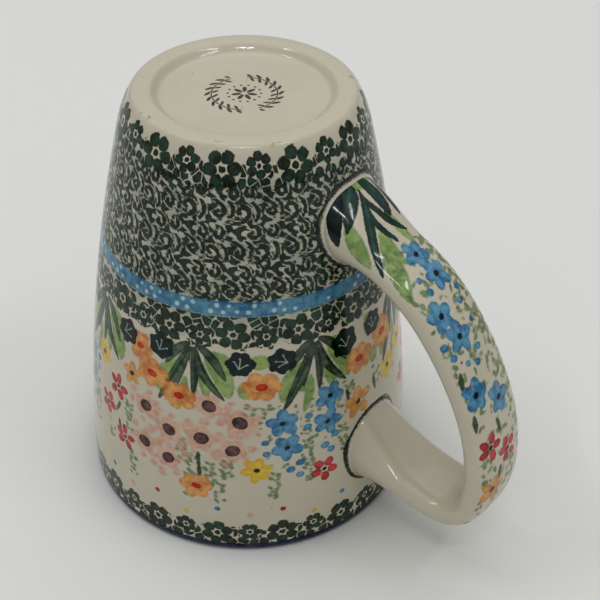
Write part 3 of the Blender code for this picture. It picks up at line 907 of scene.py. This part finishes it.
class Nodes:
    # shorthand for wiring one node tree
    def __init__(self, tree):
        self.tree = tree

    def add(self, kind, **inputs):
        node = self.tree.nodes.new(kind)
        for key, value in inputs.items():
            self.put(node, key, value)
        return node

    def put(self, node, key, value):
        # i0, i1 and so on are places in the list of inputs, and other keys are names
        socket = node.inputs[int(key[1:])] if key[1:].isdigit() else node.inputs[key]
        if isinstance(value, bpy.types.NodeSocket):
            self.tree.links.new(value, socket)
        else:
            socket.default_value = value

    def math(self, operation, a, b=0.0, c=None, clamp=False):
        node = self.add("ShaderNodeMath", i0=a, i1=b)
        if c is not None:
            self.put(node, "i2", c)
        node.operation = operation
        node.use_clamp = clamp
        return node.outputs[0]

    def plus(self, a, b):
        return self.math("ADD", a, b)

    def minus(self, a, b):
        return self.math("SUBTRACT", a, b)

    def times(self, a, b):
        return self.math("MULTIPLY", a, b)

    def over(self, a, b):
        return self.math("DIVIDE", a, b)

    def least(self, a, b):
        return self.math("MINIMUM", a, b)

    def most(self, a, b):
        return self.math("MAXIMUM", a, b)

    def length(self, x, y):
        # the root of the sum of the squares
        return self.math("SQRT", self.plus(self.times(x, x), self.times(y, y)))

    def centred(self, a):
        # how far through its repeat, from -0.5 to 0.5
        return self.minus(self.math("FRACT", a), 0.5)

    def mix(self, factor, a, b):
        node = self.tree.nodes.new("ShaderNodeMix")
        node.data_type = "RGBA"
        self.put(node, "i0", factor)
        self.put(node, "i6", a)
        self.put(node, "i7", b)
        return node.outputs[2]

    def ramp(self, value, low, high, toLow=0.0, toHigh=1.0, smooth=True):
        node = self.add("ShaderNodeMapRange", i0=value, i1=low, i2=high, i3=toLow, i4=toHigh)
        node.interpolation_type = "SMOOTHSTEP" if smooth else "LINEAR"
        return node.outputs[0]

    def noise(self, vector, scale, detail=2.0, roughness=0.5):
        node = self.add("ShaderNodeTexNoise", Vector=vector, Scale=scale, Detail=detail,
                        Roughness=roughness)
        return node.outputs[0]

    def attribute(self, name):
        node = self.tree.nodes.new("ShaderNodeAttribute")
        node.attribute_name = name
        return node.outputs["Fac"]


def newGroup(name, inputs, outputs):
    tree = bpy.data.node_groups.new(name, "ShaderNodeTree")
    for label, kind, default in inputs:
        socket = tree.interface.new_socket(label, in_out="INPUT", socket_type=kind)
        if default is not None:
            socket.default_value = default
    for label, kind in outputs:
        tree.interface.new_socket(label, in_out="OUTPUT", socket_type=kind)
    source = tree.nodes.new("NodeGroupInput")
    sink = tree.nodes.new("NodeGroupOutput")
    return tree, Nodes(tree), source.outputs, sink


def useGroup(n, tree, **inputs):
    node = n.tree.nodes.new("ShaderNodeGroup")
    node.node_tree = tree
    for key, value in inputs.items():
        n.put(node, key, value)
    return node


def brushGroup():
    # one paint: a ragged edge, a mask, and how much pigment has pooled
    tree, n, given, sink = newGroup(
        "brushedPaint",
        (("Depth", "NodeSocketFloat", noPaint), ("Place", "NodeSocketVector", None),
         ("Ragged", "NodeSocketFloat", 0.2), ("Soft", "NodeSocketFloat", 0.12)),
        (("Mask", "NodeSocketFloat"), ("Pool", "NodeSocketFloat")),
    )
    fine = n.noise(given["Place"], 1500.0, 2.0, 0.6)
    edge = n.math("MULTIPLY_ADD", n.minus(fine, 0.5), n.times(given["Ragged"], 2.0), given["Depth"])
    mask = n.ramp(edge, n.times(given["Soft"], -1.0), given["Soft"])
    streak = n.noise(given["Place"], 520.0, 3.0, 0.65)
    rimDark = n.ramp(given["Depth"], 0.0, 0.8, 1.0, 0.0)
    patch = n.ramp(n.noise(given["Place"], 130.0, 2.0, 0.6), 0.36, 0.64, -0.3, 0.2)
    pool = n.plus(n.ramp(streak, 0.3, 0.7, 0.0, 0.9), patch)
    pool = n.math("MULTIPLY_ADD", rimDark, 0.45, pool, clamp=True)
    n.put(sink, "Mask", mask)
    n.put(sink, "Pool", pool)
    return tree


brushedPaint = brushGroup()


def lay(n, colour, depth, place, thin, pooled, ragged=0.2, soft=0.14, cover=0.95):
    # one paint over what is already there
    coat = useGroup(n, brushedPaint, Depth=depth, Place=place, Ragged=ragged, Soft=soft)
    shade = n.mix(coat.outputs["Pool"], paint(*thin), paint(*pooled))
    return n.mix(n.times(coat.outputs["Mask"], cover), colour, shade)


# paint, thin colour, pooled colour, ragged edge in mm, soft edge in mm, cover
coats = (
    ("wash", (152, 174, 104), (104, 136, 68), 0.35, 0.32, 0.86),
    ("sprig", (132, 150, 112), (92, 118, 78), 0.30, 0.22, 0.84),
    ("pink", (214, 176, 156), (198, 142, 124), 0.40, 0.50, 0.74),
    ("leaf", (82, 106, 82), (22, 42, 38), 0.16, 0.14, 0.93),
    ("deepLeaf", (50, 74, 58), (22, 42, 34), 0.20, 0.15, 0.85),
    ("orange", (220, 168, 102), (190, 120, 62), 0.45, 0.34, 0.92),
    ("amber", (214, 168, 102), (194, 132, 68), 0.25, 0.20, 0.92),
    ("yellow", (218, 192, 80), (206, 166, 40), 0.25, 0.22, 0.93),
    ("blue", (106, 160, 188), (50, 110, 150), 0.20, 0.18, 0.95),
    ("red", (204, 76, 80), (160, 30, 44), 0.18, 0.14, 0.97),
    ("crimson", (206, 66, 34), (172, 34, 22), 0.20, 0.16, 0.98),
    ("plum", (118, 86, 88), (52, 32, 40), 0.20, 0.15, 0.97),
    ("teal", (18, 44, 50), (6, 18, 24), 0.25, 0.12, 0.98),
    ("spear", (30, 66, 62), (10, 30, 32), 0.22, 0.13, 0.95),
    ("veil", (84, 124, 112), (56, 96, 88), 0.30, 0.22, 0.55),
    ("ink", (34, 32, 42), (10, 10, 18), 0.12, 0.12, 0.97),
)


def coatGroup():
    # lays the garland's paints over a base colour, one after the other
    tree, n, given, sink = newGroup(
        "paintedFlowers",
        (("Base", "NodeSocketColor", None), ("Place", "NodeSocketVector", None)),
        (("Color", "NodeSocketColor"),),
    )
    colour = given["Base"]
    for name, *coat in coats:
        colour = lay(n, colour, n.attribute(name), given["Place"], *coat)
    n.put(sink, "Color", colour)
    return tree


def glazeGroup():
    # cream glaze with faint clouds and specks, and the slow waves of its surface
    tree, n, given, sink = newGroup(
        "creamGlaze",
        (("Color", "NodeSocketColor", None), ("Place", "NodeSocketVector", None)),
        (("Color", "NodeSocketColor"), ("Roughness", "NodeSocketFloat"), ("Height", "NodeSocketFloat")),
    )
    cloud = n.noise(given["Place"], 45.0, 3.0, 0.6)
    base = n.mix(n.ramp(cloud, 0.3, 0.7, 0.0, 0.5), given["Color"], paint(196, 190, 170))
    cells = n.add("ShaderNodeTexVoronoi", Vector=given["Place"], Scale=420.0, Randomness=1.0)
    chosen = n.math("GREATER_THAN", n.noise(cells.outputs["Position"], 37.0, 0.0), 0.72)
    speck = n.times(n.ramp(cells.outputs["Distance"], 0.06, 0.13, 1.0, 0.0), chosen)
    base = n.mix(n.times(speck, 0.55), base, paint(120, 100, 74))
    n.put(sink, "Color", base)
    n.put(sink, "Roughness", n.ramp(n.noise(given["Place"], 160.0), 0.3, 0.7, 0.07, 0.13))
    waves = n.plus(n.noise(given["Place"], 90.0), n.times(n.noise(given["Place"], 700.0, 1.0), 0.12))
    n.put(sink, "Height", waves)
    return tree


# for a flower of size 1
spongeStamp = {
    "petals": 6.0,
    "petalOut": 0.68,             # from the flower's middle to a petal's middle
    "petalHalfLength": 0.38,
    "petalHalfWidth": 0.355,
    "petalSwell": 1.015,          # above 1, neighbours run into each other
    "dot": 0.19,
    "flowerEdge": 1.08,           # the flower ends here, and the cells start
    "cellEdge": 1.04,
    "cellScale": 0.36,            # cells in each mm of wall
    "wobble": 0.22,
}


def spongeGroup():
    # flowers of six petals round a dot, and rounded cells between them; puts out the depth in mm
    tree, n, given, sink = newGroup(
        "spongeFlowers",
        (("Across", "NodeSocketFloat", 0.0), ("Up", "NodeSocketFloat", 0.0),
         ("Reach", "NodeSocketFloat", noFlower), ("Map", "NodeSocketVector", None)),
        (("Depth", "NodeSocketFloat"),),
    )
    stamp = spongeStamp
    warp = n.noise(given["Map"], 0.55, 1.0).node.outputs[1]   # three noises, as a colour
    shift = n.add("ShaderNodeVectorMath", i0=warp, i1=(0.5, 0.5, 0.5))
    shift.operation = "SUBTRACT"
    bent = n.add("ShaderNodeSeparateXYZ", Vector=shift.outputs[0])
    across = n.math("MULTIPLY_ADD", bent.outputs[0], stamp["wobble"], given["Across"])
    up = n.math("MULTIPLY_ADD", bent.outputs[1], stamp["wobble"], given["Up"])
    reach = n.length(across, up)
    turn = n.times(n.math("ARCTAN2", up, across), stamp["petals"] / (2.0 * math.pi))
    petal = n.times(n.centred(n.plus(turn, 6.25)), 2.0 * math.pi / stamp["petals"])
    along = n.minus(n.times(reach, n.math("COSINE", petal)), stamp["petalOut"])
    along = n.over(along, stamp["petalHalfLength"])
    aside = n.over(n.times(reach, n.math("SINE", petal)), stamp["petalHalfWidth"])
    petals = n.times(n.minus(stamp["petalSwell"], n.length(along, aside)), 1.35)
    dot = n.times(n.minus(stamp["dot"], reach), 4.0)
    inside = n.least(n.most(petals, dot), n.times(n.minus(stamp["flowerEdge"], given["Reach"]), 4.0))
    edge = n.add("ShaderNodeTexVoronoi", Vector=given["Map"], Scale=stamp["cellScale"], Randomness=0.8)
    edge.voronoi_dimensions = "2D"
    edge.feature = "DISTANCE_TO_EDGE"
    core = n.add("ShaderNodeTexVoronoi", Vector=given["Map"], Scale=stamp["cellScale"], Randomness=0.8)
    core.voronoi_dimensions = "2D"
    cell = n.least(n.math("MULTIPLY_ADD", edge.outputs["Distance"], 2.8, -0.12),
                   n.math("MULTIPLY_ADD", core.outputs["Distance"], -2.8, 1.62))
    outside = n.least(cell, n.times(n.minus(given["Reach"], stamp["cellEdge"]), 4.0))
    n.put(sink, "Depth", n.most(inside, outside))
    return tree


paintedFlowers = coatGroup()
creamGlaze = glazeGroup()
spongeFlowersGroup = spongeGroup()
cream = paint(204, 198, 182)
# thin and pooled colour of what is painted without a brush's strokes
tints = {
    "stamp": ((36, 70, 57), (0, 19, 15)),
    "band": ((92, 146, 170), (36, 100, 140)),
    "bandDots": ((206, 216, 210), (176, 198, 206)),
    "stamens": ((196, 204, 192), (150, 166, 160)),
    "outline": ((66, 72, 66), (18, 22, 22)),
    "rimLine": ((44, 50, 92), (14, 18, 46)),
    "wreath": ((60, 60, 56), (24, 24, 24)),
}


def newMaterial(name):
    material = bpy.data.materials.new(name)
    material.use_nodes = True
    tree = material.node_tree
    shader = tree.nodes["Principled BSDF"]
    shader.inputs["IOR"].default_value = 1.52
    return material, Nodes(tree), shader


def newGlazed(name):
    # a material with its place on the object and the cream glaze
    material, n, shader = newMaterial(name)
    place = n.add("ShaderNodeTexCoord").outputs["Object"]
    return material, n, shader, place, useGroup(n, creamGlaze, Color=cream, Place=place)


def finishGlaze(n, shader, colour, glaze):
    n.put(shader, "Base Color", colour)
    n.put(shader, "Roughness", glaze.outputs["Roughness"])
    node = n.add("ShaderNodeBump", Strength=0.25, Distance=0.0004, Height=glaze.outputs["Height"])
    n.put(shader, "Normal", node.outputs["Normal"])


def bandDepth(n, wallPlace, height):
    # staggered dots in two lines: a size that changes from dot to dot, less the distance from its middle
    every = 2.0 * math.pi * meanRadius / band["dots"]
    around = n.add("ShaderNodeSeparateXYZ", Vector=wallPlace).outputs[0]
    middle = (band["low"] + band["high"]) / 2
    lines = []
    for rise, start, share in band["lines"]:
        place = n.plus(n.over(around, every), start)
        chance = n.tree.nodes.new("ShaderNodeTexWhiteNoise")
        chance.noise_dimensions = "1D"
        n.put(chance, "W", n.math("FLOOR", place))
        size = n.ramp(chance.outputs["Value"], 0.0, share, band["dot"], band["dot"] * 0.7, False)
        size = n.times(size, n.math("LESS_THAN", chance.outputs["Value"], share))
        drift = n.times(n.centred(n.times(chance.outputs["Value"], 7.0)), 0.9)
        x = n.times(n.centred(place), every * 0.95)
        y = n.minus(n.minus(height, middle + rise), n.times(drift, 0.5))
        away = n.length(n.minus(x, drift), y)
        lines.append(n.minus(n.minus(size, 0.02), away))
    return n.most(*lines)


stamens = {
    "root": 1.5,                  # mm below the flower's middle
    "lines": ((-0.62, 2.4), (0.0, 3.0), (0.56, 2.5)),   # lean in radians and length in mm
    "half": 0.15,
    "tip": 0.3,
    "bow": 0.06,
}


def stamenDepth(n):
    # three lines that spread from one point and end in dots, from each dark flower's own offsets in mm
    x, y = n.attribute("stamenAcross"), n.attribute("stamenUp")
    up = n.plus(y, stamens["root"])
    reach = n.length(x, up)
    best = None
    for lean, length in stamens["lines"]:
        c, s = math.cos(lean), math.sin(lean)
        aside = n.minus(n.times(x, c), n.times(up, s))
        along = n.plus(n.times(x, s), n.times(up, c))
        bow = n.times(n.times(along, along), stamens["bow"] * (1.0 if lean > 0 else -1.0))
        aside = n.minus(aside, bow)
        line = n.minus(stamens["half"], n.math("ABSOLUTE", aside))
        line = n.least(line, n.least(along, n.minus(length, along)))
        line = n.most(line, n.minus(stamens["tip"], n.length(n.minus(along, length), aside)))
        best = line if best is None else n.most(best, line)
    best = n.least(best, n.minus(4.2, reach))
    return n.least(best, n.minus(3.4, n.attribute("stamenReach")))


# how many, how far out, half length, half width, lean in radians and part of a step turned; mm
wreath = {
    "petals": (7.0, 2.0, 1.25, 0.55, 0.0, 0.0),
    "dots": (14.0, 4.1, 0.32, 0.32, 0.0, 0.0),
    "outerLeaves": (22.0, 9.0, 1.15, 0.42, 0.9, 0.0),
    "innerLeaves": (22.0, 7.2, 1.0, 0.36, 0.7, 0.5),
    "stalk": (8.1, 0.16),         # how far out, and half width
    "gap": 0.25,                  # the two arcs' open ends
    "gapTurn": 0.11,
}


def wreathDepth(n, place):
    # a small rosette inside two arcs of leaves, in mm from the foot's middle
    space = n.add("ShaderNodeSeparateXYZ", Vector=place)
    x = n.over(n.minus(space.outputs[0], axisX), mm)
    y = n.over(space.outputs[1], mm)
    reach = n.length(x, y)
    turn = n.over(n.math("ARCTAN2", y, x), 2.0 * math.pi)

    def ring(count, out, long, short, lean, phase):
        angle = n.times(n.centred(n.math("MULTIPLY_ADD", turn, count, phase)), 2.0 * math.pi / count)
        a = n.minus(n.times(reach, n.math("COSINE", angle)), out)
        b = n.times(reach, n.math("SINE", angle))
        c, s = math.cos(lean), math.sin(lean)
        p = n.over(n.plus(n.times(a, c), n.times(b, s)), long)
        q = n.over(n.minus(n.times(b, c), n.times(a, s)), short)
        return n.times(n.minus(1.0, n.length(p, q)), min(long, short))

    rosette = n.most(ring(*wreath["petals"]), ring(*wreath["dots"]))
    leaves = n.most(ring(*wreath["outerLeaves"]), ring(*wreath["innerLeaves"]))
    stalkOut, stalkHalf = wreath["stalk"]
    leaves = n.most(leaves, n.minus(stalkHalf, n.math("ABSOLUTE", n.minus(reach, stalkOut))))
    gap = n.math("SINE", n.times(n.plus(turn, wreath["gapTurn"]), 2.0 * math.pi))
    gap = n.minus(n.math("ABSOLUTE", gap), wreath["gap"])
    leaves = n.least(leaves, n.times(gap, 6.0))
    onFoot = n.minus(n.over(space.outputs[2], mm), (mugHeight - cup["recessDepth"] * 1.5) / mm)
    return n.least(n.most(rosette, leaves), onFoot)


def zoneDepth(n, row, height, nearFlower, ripple):
    # between a row's two heights, or as far as a flower stands out past an open side
    low, high = row["low"], row["high"]
    if row["openBelow"]:
        low = n.ramp(ripple, 0.3, 0.7, low - 0.9, low + 0.9)
    under = n.minus(height, low)
    if row["openAbove"]:
        high = n.ramp(ripple, 0.3, 0.7, high - 0.9, high + 0.9)
    over = n.minus(high, height)
    under = n.most(under, nearFlower) if row["openBelow"] else under
    over = n.most(over, nearFlower) if row["openAbove"] else over
    return n.least(under, over)


wallCoats = {
    "edge": 0.6 * mm,
    "veilFrom": (67.0, 71.0),     # heights in mm over which the thin tint between the stamps comes in
    "veilTo": (112.5, 109.0),
    "veil": (112, 130, 118),
    "rimLine": 2.9,               # height in mm of the navy line
    "clay": ((205, 199, 182), (194, 187, 169)),
    "burnt": (112, 84, 58),
    "burntAt": (3.1, 0.2, 1.3),   # mm outside that edge, and how far from there they begin and end to fade
    "burntFrom": (114.6, 116.2),  # heights in mm
}


def cupMaterial():
    material, n, shader, place, glaze = newGlazed("mugGlaze")
    wallNode = n.tree.nodes.new("ShaderNodeUVMap")
    wallNode.uv_map = "wallMm"
    wallPlace = wallNode.outputs["UV"]
    height = n.add("ShaderNodeSeparateXYZ", Vector=wallPlace).outputs[1]
    space = n.add("ShaderNodeSeparateXYZ", Vector=place)
    radius = n.length(n.minus(space.outputs[0], axisX), space.outputs[1])
    # mm outside the foot ring's inner edge; what is stamped or brushed stays outside it
    outward = n.over(n.minus(radius, cup["footRadius"] - cup["ringWidth"] + wallCoats["edge"]), mm)
    onWall = n.times(n.minus(n.math("GREATER_THAN", outward, 0.0), 0.5), 8.0)
    stamped = n.least(n.ramp(height, *wallCoats["veilFrom"]), n.ramp(height, *wallCoats["veilTo"]))
    veil = n.times(stamped, n.ramp(n.noise(place, 160.0), 0.3, 0.7, 0.15, 0.45))
    colour = n.mix(veil, glaze.outputs["Color"], paint(*wallCoats["veil"]))
    colour = lay(n, colour, n.attribute("scroll"), place, *tints["stamp"], 0.16, 0.12)
    # sponge flowers in three rows, each with a scalloped edge towards the bare glaze
    sponge = useGroup(n, spongeFlowersGroup, Across=n.attribute("spongeAcross"),
                      Up=n.attribute("spongeUp"), Reach=n.attribute("spongeReach"), Map=wallPlace)
    nearFlower = n.times(n.minus(1.0, n.attribute("spongeReach")), 4.0)
    ripple = n.noise(wallPlace, 0.3, 1.0)
    rows = [zoneDepth(n, row, height, nearFlower, ripple) for row in spongeRows]
    zones = n.least(n.most(n.most(rows[0], rows[1]), rows[2]), onWall)
    colour = lay(n, colour, n.least(sponge.outputs["Depth"], zones), place, *tints["stamp"])
    inBand = n.least(n.minus(height, band["low"]), n.minus(band["high"], height))
    inBand = n.least(inBand, onWall)
    colour = lay(n, colour, inBand, place, *tints["band"], 0.35, 0.3, 0.94)
    dots = n.least(bandDepth(n, wallPlace, height), inBand)
    colour = lay(n, colour, dots, place, *tints["bandDots"], 0.2, 0.2, 0.85)
    colour = useGroup(n, paintedFlowers, Base=colour, Place=place).outputs["Color"]
    colour = lay(n, colour, stamenDepth(n), place, *tints["stamens"], 0.1, 0.08, 0.85)
    colour = lay(n, colour, n.attribute("outline"), place, *tints["outline"], 0.3, 0.2)
    rimLine = n.least(n.minus(wallCoats["rimLine"], height), n.times(n.minus(outward, 18.0), 4.0))
    colour = lay(n, colour, rimLine, place, *tints["rimLine"], 0.3, 0.25, 0.96)
    colour = lay(n, colour, wreathDepth(n, place), place, *tints["wreath"], 0.1, 0.1, 0.9)
    # the foot ring is bare clay, sanded, with burnt specks along its outer edge
    ring = n.ramp(height, (mugHeight - 0.5 * mm) / mm, (mugHeight - 0.1 * mm) / mm)
    grain = n.ramp(n.noise(place, 1500.0, 3.0, 0.7), 0.3, 0.75)
    clay = n.mix(grain, *(paint(*tone) for tone in wallCoats["clay"]))
    colour = n.mix(n.times(ring, 0.6), colour, clay)
    burntAt, burntFull, burntGone = wallCoats["burntAt"]
    nearEdge = n.ramp(n.math("ABSOLUTE", n.minus(outward, burntAt)), burntFull, burntGone, 1.0, 0.0)
    nearEdge = n.times(nearEdge, n.ramp(height, *wallCoats["burntFrom"]))
    burnt = n.times(n.ramp(n.noise(place, 330.0, 3.0, 0.7), 0.60, 0.68), nearEdge)
    burnt = n.times(burnt, n.ramp(n.noise(place, 60.0, 1.0), 0.45, 0.6))
    colour = n.mix(n.times(burnt, 0.8), colour, paint(*wallCoats["burnt"]))
    finishGlaze(n, shader, colour, glaze)
    n.put(shader, "Roughness", n.math("MULTIPLY_ADD", ring, 0.28, glaze.outputs["Roughness"]))
    return material


def strapMaterial():
    material, n, shader, place, glaze = newGlazed("strapGlaze")
    flowers = useGroup(n, paintedFlowers, Base=glaze.outputs["Color"], Place=place)
    finishGlaze(n, shader, flowers.outputs["Color"], glaze)
    return material


def slipMaterial():
    # the brushed line runs along the bead's edge on the wall
    material, n, shader, place, glaze = newGlazed("slipGlaze")
    depth = n.times(n.minus(n.attribute("towardsWall"), 0.62), 1.4)
    colour = lay(n, glaze.outputs["Color"], depth, place, *tints["outline"], 0.4, 0.25)
    finishGlaze(n, shader, colour, glaze)
    return material


cupPiece.data.materials.append(cupMaterial())
strapPiece.data.materials.append(strapMaterial())
slip = slipMaterial()
footSlip.data.materials.append(slip)
rimSlip.data.materials.append(slip)

for piece, node, slot in (
    (cupPiece, "cup_body", "cup_glaze"),
    (strapPiece, "handle", "handle_glaze"),
    (footSlip, "foot_end_slip_joint", "slip_glaze"),
    (rimSlip, "rim_end_slip_joint", "slip_glaze"),
):
    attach(piece, "root")
    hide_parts(node)
print("materials done")

studio = {
    "floor": (230, 230, 228),
    "horizon": 0.42,              # the room's light at eye level
    "overhead": 0.62,             # added to it straight above
    "backdrop": 0.80,
    "cameraTurn": 40.5,           # degrees round from -Y towards the strap
    "cameraOut": 281.2 * mm,
    "cameraUp": 271.8 * mm,
    "pitch": 38.1,
    "yaw": 2.93,
    "roll": 0.90,
    "lens": 78.0,
    "room": (228, 229, 229),
    "ceiling": ((-0.5, 0.3, 1.7), (2.2, 2.2), 6.0),   # place, size and power
    "lamps": ((-51.0, 2.2), (14.0, 1.6), (-143.0, 1.8)),   # degrees round the cup, and power
    "lampOut": 0.85,
    "lampUp": 1.5,
    "lampSize": (0.55, 0.05),
    "contrast": 0.80,
    "black": (0.016, 0.014, 0.016),   # light that is shown as black
}

floorMesh = bpy.data.meshes.new("floor")
floorMesh.from_pydata([(-4, -4, 0), (4, -4, 0), (4, 4, 0), (-4, 4, 0)], [], [(0, 1, 2, 3)])
floor = bpy.data.objects.new("floor", floorMesh)
bpy.context.scene.collection.objects.link(floor)
floorMaterial, n, shader = newMaterial("floorPaper")
n.put(shader, "Base Color", paint(*studio["floor"]))
n.put(shader, "Roughness", 0.9)
floor.data.materials.append(floorMaterial)

world = bpy.data.worlds.new("room")
bpy.context.scene.world = world
world.use_nodes = True
n = Nodes(world.node_tree)
background = world.node_tree.nodes["Background"]
n.put(background, "Color", paint(*studio["room"]))
# brighter overhead than at the horizon, and plain pale where it is seen itself
direction = n.add("ShaderNodeTexCoord").outputs["Generated"]
overhead = n.add("ShaderNodeSeparateXYZ", Vector=direction).outputs[2]
sky = n.math("MULTIPLY_ADD", n.most(overhead, 0.0), studio["overhead"], studio["horizon"])
seen = n.add("ShaderNodeLightPath").outputs["Is Camera Ray"]
seenSky = n.times(seen, n.minus(studio["backdrop"], sky))
n.put(background, "Strength", n.plus(sky, seenSky))


def softbox(name, place, size, power):
    # a long or wide panel aimed at the middle of the cup
    light = bpy.data.lights.new(name, "AREA")
    light.shape = "RECTANGLE"
    light.size, light.size_y = size
    light.energy = power
    lamp = bpy.data.objects.new(name, light)
    lamp.location = place
    aim = Vector((axisX, 0.0, mugHeight / 2))
    lamp.rotation_euler = (aim - Vector(place)).to_track_quat("-Z", "Y").to_euler()
    bpy.context.scene.collection.objects.link(lamp)


softbox("ceiling", *studio["ceiling"])
for number, (turn, power) in enumerate(studio["lamps"]):
    turn = math.radians(turn)
    lampPlace = (studio["lampOut"] * math.cos(turn), studio["lampOut"] * math.sin(turn), studio["lampUp"])
    softbox(f"lamp{number}", lampPlace, studio["lampSize"], power)


def placeCamera():
    # a pinhole aimed beside the cup's axis, without lens shift
    turn = math.radians(studio["cameraTurn"])
    pitch, yaw, roll = (math.radians(studio[k]) for k in ("pitch", "yaw", "roll"))
    towards = Vector((math.sin(yaw) * math.cos(pitch), math.cos(yaw) * math.cos(pitch), -math.sin(pitch)))
    right = towards.cross(Vector((0, 0, 1))).normalized()
    up = right.cross(towards)
    rolledRight = right * math.cos(roll) + up * math.sin(roll)
    rolledUp = up * math.cos(roll) - right * math.sin(roll)
    facing = Matrix((rolledRight, rolledUp, -towards)).transposed()
    spin = Matrix.Rotation(turn, 3, "Z")
    place = spin @ Vector((0.0, -studio["cameraOut"], studio["cameraUp"])) + Vector((axisX, 0.0, 0.0))
    data = bpy.data.cameras.new("camera")
    data.lens = studio["lens"]
    data.sensor_width = 36.0
    data.clip_start = 0.01
    camera = bpy.data.objects.new("camera", data)
    camera.matrix_world = Matrix.Translation(place) @ (spin @ facing).to_4x4()
    bpy.context.scene.collection.objects.link(camera)
    bpy.context.scene.camera = camera


placeCamera()
look = bpy.context.scene.view_settings
look.view_transform = "Standard"
look.gamma = studio["contrast"]
look.use_curve_mapping = True
look.curve_mapping.black_level = studio["black"]
look.curve_mapping.update()
print("studio done")
